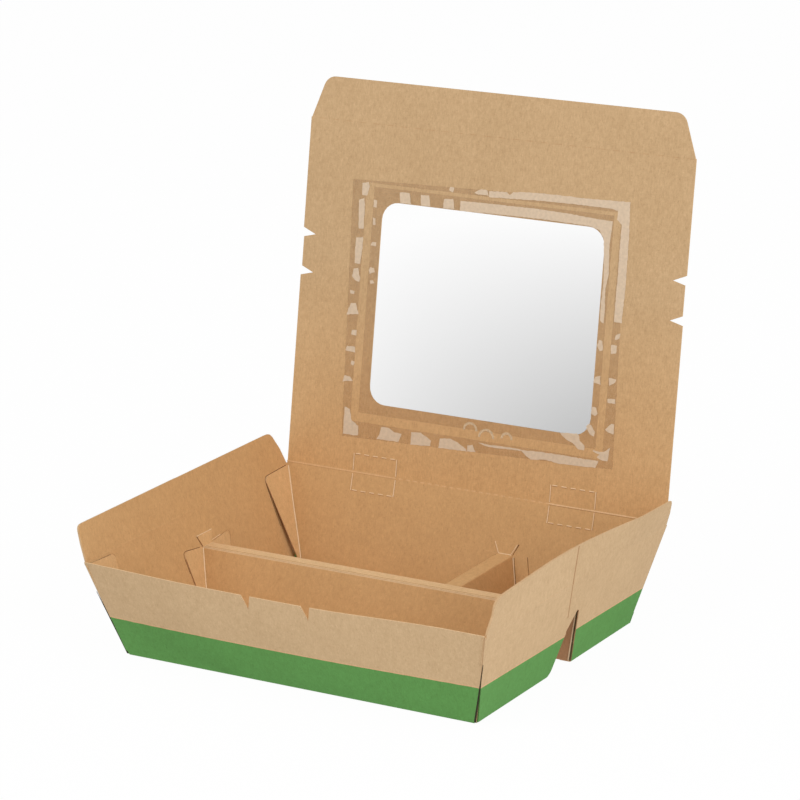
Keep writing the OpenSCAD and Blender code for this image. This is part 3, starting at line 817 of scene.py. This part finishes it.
def clear_film():
    """Clear in the window but for a grey of painted shade that deepens towards its lower right,
    and a little brown where wet adhesive holds it to the board.
    """
    material, tree, shader = new_material("clear film")
    x, y, z = object_place(tree)
    up_lid = maths(tree, "MULTIPLY_ADD", y, lid_up.y, -hinge.dot(lid_up))
    up_lid = maths(tree, "MULTIPLY_ADD", z, lid_up.z, up_lid)
    from_middle = maths(tree, "SUBTRACT", up_lid, (window_low + window_high) / 2 * mm)
    squares = []
    for value, half in ((x, window_half), (from_middle, (window_high - window_low) / 2)):
        past = maths(tree, "SUBTRACT", maths(tree, "ABSOLUTE", value), (half - window_r) * mm)
        past = maths(tree, "MAXIMUM", past, 0.0)
        squares.append(maths(tree, "MULTIPLY", past, past))
    from_corner = maths(tree, "SQRT", maths(tree, "ADD", *squares))
    in_window = maths(tree, "LESS_THAN", from_corner, window_r * mm)
    in_outer, in_inner = (
        maths(tree, "MULTIPLY", within(tree, x, *ring[:2]), within(tree, up_lid, *ring[2:]))
        for ring in (outer_ring, inner_ring))
    glued = maths(tree, "ADD", maths(tree, "SUBTRACT", 1.0, in_outer), in_inner)
    patchy = add(tree, "TexNoise", Vector=add(tree, "TexCoord").outputs["Object"],
                 Scale=1 / (5 * mm), Detail=3.0).outputs[0]
    wet = maths(tree, "MULTIPLY", glued, maths(tree, "MULTIPLY_ADD", patchy, 0.07, 0.045))
    across = maths(tree, "MULTIPLY_ADD", x, 1 / (2 * window_half * mm), 0.5)
    down = maths(tree, "MULTIPLY_ADD", from_middle, -1 / ((window_high - window_low) * mm), 0.5)
    grey = maths(tree, "MULTIPLY_ADD", across, grey_across, grey_start)
    grey = maths(tree, "MULTIPLY_ADD", down, grey_down, grey)
    grey = maths(tree, "MULTIPLY_ADD", maths(tree, "MULTIPLY", across, down), grey_corner, grey)
    on_board = maths(tree, "SUBTRACT", 1.0, in_window)
    alpha = maths(tree, "MULTIPLY_ADD", wet, on_board, maths(tree, "MULTIPLY", grey, in_window))
    join(tree, maths(tree, "MAXIMUM", alpha, 0.004), shader.inputs["Alpha"])
    colour = blend_colours(tree, in_window, srgb(166, 126, 90), srgb(70, 72, 74))
    join(tree, colour, shader.inputs["Base Color"])
    shader.inputs["Roughness"].default_value = 0.22
    shader.inputs["Specular IOR Level"].default_value = 0.3
    return material


film_mesh = merged("window_film")
for vert in film_mesh.verts:
    # Its back face would lie in the board's face, so it is set a hair off
    if (vert.co - hinge).dot(lid_out) < 0.3 * mm:
        vert.co += lid_out * film_lift
film_sheet = piece("film_sheet", film_mesh, (clear_film(),))
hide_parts("window_film")
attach(film_sheet, "lid")


# Adhesive marks
# Where the adhesive didn't wet the board, the air under the film looks frosty. The marks
# are thin skins on the film, with torn outlines, drawn as (across, up) on the lid in mm.
patches = [
    [(-78.8, 151.9), (-75, 152.6), (-74.1, 150.6), (-75.4, 145.6), (-78.5, 145.5)],
    [(-80.1, 143), (-77.1, 144), (-76.4, 140.7), (-76.2, 128), (-79.3, 127.7)],
    [(-80.3, 122.8), (-76.1, 123.6), (-75.9, 117.8), (-77, 109.3), (-80, 109.5), (-80.4, 117.3)],
    [(-80.6, 106.4), (-77.6, 107.4), (-76.8, 103.8), (-76, 102.1), (-76.6, 99.9), (-79.1, 100.5),
     (-81.1, 102.5)],
    [(-81.9, 95.1), (-78.9, 95), (-78.9, 93.3), (-81.5, 93.2)],
    [(-80.5, 88.5), (-77.7, 88.6), (-75.5, 83), (-82.8, 82.1), (-81.9, 85.2)],
    [(-78.8, 74.5), (-75.8, 74.5), (-76, 71.8), (-79.1, 71.9)],
    [(-81.1, 65.5), (-76.3, 65.7), (-75.8, 62.7), (-81.9, 63.1)],
    [(-77.7, 58.4), (-75.8, 57.8), (-76.6, 55.6), (-78.1, 56.3)],
    [(-81.3, 50), (-78.1, 49.6), (-76, 47.7), (-82.4, 46.6)],
    [(-79.9, 33.5), (-76.7, 32.7), (-75.1, 26.8), (-70.6, 24.3), (-70.6, 19.2), (-79.8, 19)],
    [(-56.6, 25.9), (-52.4, 26), (-48.7, 24), (-44.2, 23.7), (-45.5, 19.4), (-59.1, 19),
     (-57.4, 21.9)],
    [(-38.4, 25.7), (-32.8, 25.9), (-28.5, 24), (-26.3, 22.5), (-26.5, 19.7), (-38.5, 19)],
    [(-20.9, 24.7), (-14.8, 25.3), (-10.5, 24.1), (-5.1, 21.2), (-4.7, 20), (-21.5, 19.6)],
    [(-4.3, 23.2), (-1.6, 24), (0.5, 20.5), (-4.4, 20)],
    [(-55.9, 149.2), (-50, 149.5), (-48.7, 143.9), (-55.1, 143.8)],
    [(-43.4, 149.2), (-38.2, 149.5), (-37.1, 143.9), (-42.6, 143.8)],
    [(-29.3, 148.6), (-23.8, 149.1), (-22.6, 144), (-29.4, 143.6)],
    [(-71.1, 143.9), (-69.1, 143.6), (-69.3, 139.7), (-71.2, 140.1)],
    [(-71.1, 134.6), (-69.5, 134), (-69, 130.9), (-70.8, 130.5)],
    [(-70.3, 121.8), (-67.8, 121.6), (-67.9, 119.6), (-71.1, 119.8)],
    [(-70.3, 108.6), (-68.3, 108.1), (-67.6, 106.1), (-70.6, 104.9), (-71.2, 106.8)],
    [(-70, 101.6), (-68.4, 102), (-67.4, 100.4), (-69.6, 99.6)],
    [(66.6, 87.3), (68.9, 86.8), (69.5, 82.2), (67.8, 81.4), (66.2, 84.1)],
    [(66.3, 68.3), (69.1, 69), (69.7, 64.6), (65.5, 65.2)],
    [(66.1, 53), (68.5, 52.8), (69.3, 49.6), (68.1, 48.3), (65.6, 49.4)],
    [(64.6, 43.9), (66.2, 43.6), (68.8, 40.4), (68.4, 37.7), (65.8, 38.8), (63.4, 42)],
    [(76.3, 90.9), (78.6, 91.9), (78.3, 89.1), (75.7, 88.2)],
    [(74.2, 85.7), (77.4, 85.5), (77.2, 81.6), (74.4, 81), (73.9, 83.3)],
    [(74.2, 68.7), (78.4, 68.4), (78, 66.9), (74.8, 64.5)],
    [(74.5, 58), (78.8, 58.4), (79, 55.9), (74.4, 56)],
    [(77.6, 45.7), (79.2, 45.6), (79.4, 40.4), (75.1, 41.5), (74.4, 42.6)],
    [(-26, 155.3), (-23.5, 154.9), (-24.1, 152.4), (-26.7, 153.4)],
    [(-11.5, 153.8), (-7.7, 156), (-4, 155.7), (-3.2, 153), (-8.1, 152.9), (-10.5, 153.1)],
    [(48.9, 37.4), (58.5, 38), (60.2, 36.8), (60.4, 34.7), (63.6, 32.3), (63.4, 30.2), (60.2, 30),
     (57.7, 32.2), (52.8, 34.4), (50.5, 35.5)],
    [(68.1, 31.1), (71.7, 30.6), (75, 30.9), (78, 33.4), (77.2, 26.2), (73, 26.6), (70.8, 27.7),
     (72.5, 29.1), (68.7, 30.2)],
    [(26.8, 25.3), (31.5, 25.5), (39.5, 25.9), (52.9, 25.8), (72.1, 25.7), (70.7, 22.1),
     (50.7, 21.3),
     (41.2, 22.1), (33.3, 21), (30.4, 22.6)],
    [(1.7, 25.7), (8.5, 25.2), (16.6, 25.6), (26.1, 25.7), (27.5, 24.7), (20.8, 24.7), (12.7, 24.1),
     (5.9, 24.3)],
    [(-19.3, 148.6), (-11.8, 148.8), (1.8, 149), (28.6, 149.3), (48.5, 148.6), (60.5, 147.7),
     (69.3, 147.8), (69.1, 143.2), (68.6, 138.7), (68.6, 132.9), (69.4, 121.3), (68.2, 113),
     (68.8, 101.4), (68.6, 95.8), (66.4, 97), (66.4, 108.1), (66.8, 118.7), (65, 138.3),
     (62.2, 142.4),
     (56.9, 143.8), (29, 144.3), (2.2, 144.1), (-19.5, 143.4)],
    [(-2.9, 155.4), (7.2, 155.9), (9.3, 154.8), (11.2, 156.4), (25.2, 157.4), (54.3, 157.6),
     (78.3, 158.3), (79.2, 139.9), (79.4, 114.3), (78.8, 97), (74.4, 97.4), (74.4, 109.1),
     (74.6, 121.9),
     (74.4, 135.8), (74.4, 146.3), (71.5, 148.9), (71.8, 153), (67.7, 153.9), (48.1, 153.9),
     (28.2, 153.6), (14.9, 153), (-2.9, 152.3)],
]


def ragged(corners, rough, step):
    """The outline through the corners, walked in short steps and moved about by the seed."""
    walked = []
    for i, start in enumerate(corners):
        a, b = Vector(start), Vector(corners[(i + 1) % len(corners)])
        steps = max(2, round((b - a).length / step))
        walked += [a.lerp(b, k / steps) for k in range(steps)]
    return [p + Vector((random.uniform(-rough, rough), random.uniform(-rough, rough)))
            for p in walked]


def skin(name, outlines, finish):
    """Closed skins 0.03 mm thick on the film's front face."""
    mesh = bmesh.new()
    for outline in outlines:
        under, over = (
            [mesh.verts.new(hinge + Vector((p.x, 0, 0)) * mm + lid_up * p.y * mm
                            + lid_out * height * mm) for p in outline]
            for height in (0.34, 0.37))
        mesh.faces.new(under)
        mesh.faces.new(over)
        for i in range(len(outline)):
            j = (i + 1) % len(outline)
            mesh.faces.new((under[i], under[j], over[j], over[i]))
    bmesh.ops.triangulate(mesh, faces=[face for face in mesh.faces if len(face.verts) > 4])
    bmesh.ops.recalc_face_normals(mesh, faces=mesh.faces)
    thing = piece(name, mesh, (finish,))
    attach(thing, "lid")


def frost(name, colour, low, high):
    """Frosty air under the film, between two strengths."""
    material, tree, shader = new_material(name)
    shader.inputs["Base Color"].default_value = colour
    shader.inputs["Roughness"].default_value = 0.4
    cloud = add(tree, "TexNoise", Vector=add(tree, "TexCoord").outputs["Object"],
                Scale=1 / (1.6 * mm), Detail=3.0).outputs[0]
    strength = maths(tree, "MULTIPLY_ADD", cloud, high - low, low)
    join(tree, strength, shader.inputs["Alpha"])
    return material


random.seed(7)
skin("adhesive_marks", [ragged(patch, rough=0.16, step=1.3) for patch in patches],
     frost("frosty adhesive", srgb(225, 201, 172), 0.7, 1.0))

# Three arcs below the window. Each row: the middle, across and up, and the outer radius in mm
arc_width = 1.3
arcs = []
for x, s, radius in ((-3.5, 31.2, 4.4), (6.2, 28.6, 4.8), (18.2, 29.6, 3.6)):
    turns = [pi * k / 12 for k in range(13)]
    arcs.append([Vector((x + r * cos(t), s + r * sin(t)))
                 for r, way in ((radius, turns), (radius - arc_width, turns[::-1])) for t in way])
skin("adhesive_arcs", arcs, frost("faint adhesive", srgb(246, 218, 178), 0.35, 0.6))


# Floor and light
# A plain white floor, and a room that is white all round with two square lamps. Both show
# the camera plain white, and light the box less than they show.
half_floor, floor_level = 6.0, -0.1 * mm
floor_glow, floor_bounce, room_light = 0.97, 0.55, 0.62


def seen_plainly(tree):
    """1 for the rays that the camera sees, also through glass and in reflections."""
    path = add(tree, "LightPath").outputs
    seen = maths(tree, "MAXIMUM", path["Is Camera Ray"], path["Is Transmission Ray"])
    return maths(tree, "MAXIMUM", seen, path["Is Glossy Ray"])


def studio_white(name):
    """Matt white that keeps a faint shadow and shows the camera plain white."""
    material, tree, _ = new_material(name)
    tree.nodes.clear()
    matt = add(tree, "BsdfDiffuse", Color=(0.9, 0.9, 0.9, 1))
    glow = add(tree, "Emission", Color=(1, 1, 1, 1), Strength=1.0)
    share = maths(tree, "MULTIPLY", seen_plainly(tree), floor_glow)
    # The paper is lit by an even floor, so that the box's own shadow doesn't blacken its
    # underside
    on_paper = add(tree, "LightPath").outputs["Is Diffuse Ray"]
    share = maths(tree, "MAXIMUM", share, maths(tree, "MULTIPLY", on_paper, floor_bounce))
    shown = add(tree, "MixShader", in0=share, in1=matt.outputs[0], in2=glow.outputs[0])
    # From below the floor is clear, so that the underside can be seen
    shown = add(tree, "MixShader", in0=add(tree, "NewGeometry").outputs["Backfacing"],
                in1=shown.outputs[0], in2=add(tree, "BsdfTransparent").outputs[0])
    output = tree.nodes.new("ShaderNodeOutputMaterial")
    join(tree, shown.outputs[0], output.inputs["Surface"])
    return material


floor_mesh = bmesh.new()
floor_mesh.faces.new([floor_mesh.verts.new((x * half_floor, y * half_floor, floor_level))
                      for x, y in ((-1, -1), (1, -1), (1, 1), (-1, 1))])
floor = piece("floor", floor_mesh, (studio_white("floor"),))

world = bpy.data.worlds.new("studio")
bpy.context.scene.world = world
world.use_nodes = True
sky = world.node_tree
sky.nodes.clear()
strength = maths(sky, "MULTIPLY_ADD", seen_plainly(sky), 1.0 - room_light, room_light)
sky_out = sky.nodes.new("ShaderNodeOutputWorld")
room = add(sky, "Background", Color=(1, 1, 1, 1), Strength=strength)
sky.links.new(room.outputs[0], sky_out.inputs["Surface"])


def softbox(name, place, width, power):
    """A square lamp that faces the box."""
    lamp = bpy.data.lights.new(name, "AREA")
    lamp.size = width
    lamp.energy = power
    thing = bpy.data.objects.new(name, lamp)
    bpy.context.collection.objects.link(thing)
    place = Vector(place)
    facing = (place - look_at).to_track_quat("Z", "Y").to_matrix().to_4x4()
    thing.matrix_world = Matrix.Translation(place) @ facing


softbox("key", (-0.5, -1.6, 1.9), width=1.6, power=20)
softbox("fill", (1.9, -0.5, 1.0), width=1.4, power=19)

scene = bpy.context.scene
scene.view_settings.view_transform = "Standard"
